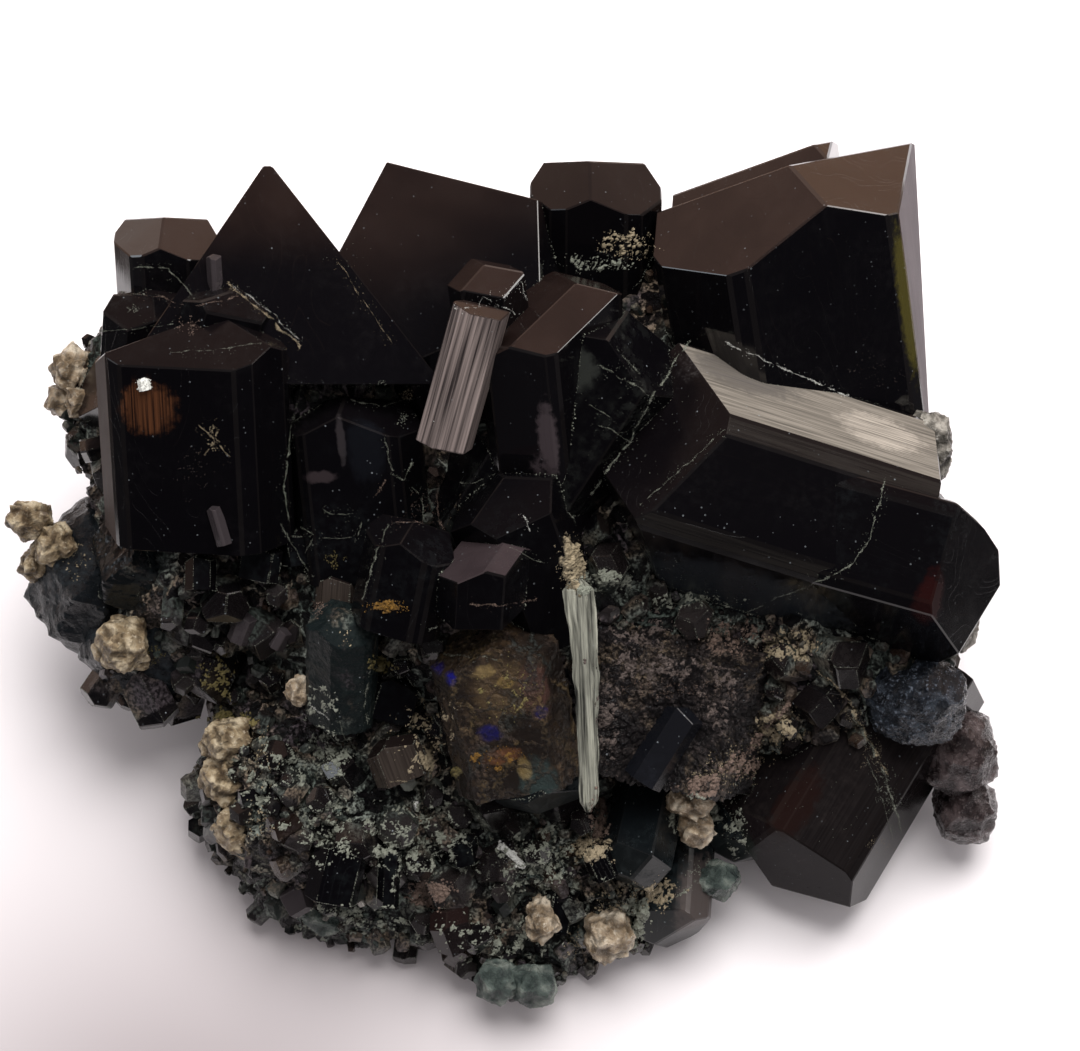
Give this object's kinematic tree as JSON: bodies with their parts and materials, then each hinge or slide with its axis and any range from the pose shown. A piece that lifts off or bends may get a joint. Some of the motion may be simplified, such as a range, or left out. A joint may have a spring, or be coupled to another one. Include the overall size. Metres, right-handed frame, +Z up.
{
  "type": "black tourmaline crystal cluster",
  "caption": "Hand-sized mineral specimen: blocky black tourmaline crystals grown through one another on a crystal matrix, with cream feldspar, smoky quartz and hyalite crusts.",
  "frame": {"origin": "bottom centre of the object's bounding box, on the surface it rests on", "axes": "+Z up from the resting flat, +X to the right as the crystals are seen from the front, +Y away from the viewer; +X is the longest extent"},
  "size_m": [0.0948, 0.0793, 0.0502],
  "materials": {
    "black_tourmaline": "vitreous crystal faces, black with brown tip faces, some striated",
    "cream_feldspar": "dull to pearly, cream to yellowish",
    "smoky_quartz": "translucent, glassy and fractured",
    "hyalite_opal": "translucent, greenish white, rounded"
  },
  "bodies": {
    "root": {"tourmaline_cluster": "black_tourmaline", "feldspar_left_edge": "cream_feldspar", "feldspar_upper_left": "cream_feldspar", "feldspar_lower_left": "cream_feldspar", "feldspar_front_left": "cream_feldspar", "feldspar_chip": "cream_feldspar", "feldspar_front": "cream_feldspar", "feldspar_front_right": "cream_feldspar", "feldspar_crust": "cream_feldspar", "smoky_quartz_upper": "smoky_quartz", "smoky_quartz_lower": "smoky_quartz", "quartz_chip": "smoky_quartz", "quartz_splinter": "smoky_quartz", "hyalite_front_left": "hyalite_opal", "hyalite_front": "hyalite_opal", "hyalite_foot": "hyalite_opal"}
  },
  "joints": []
}
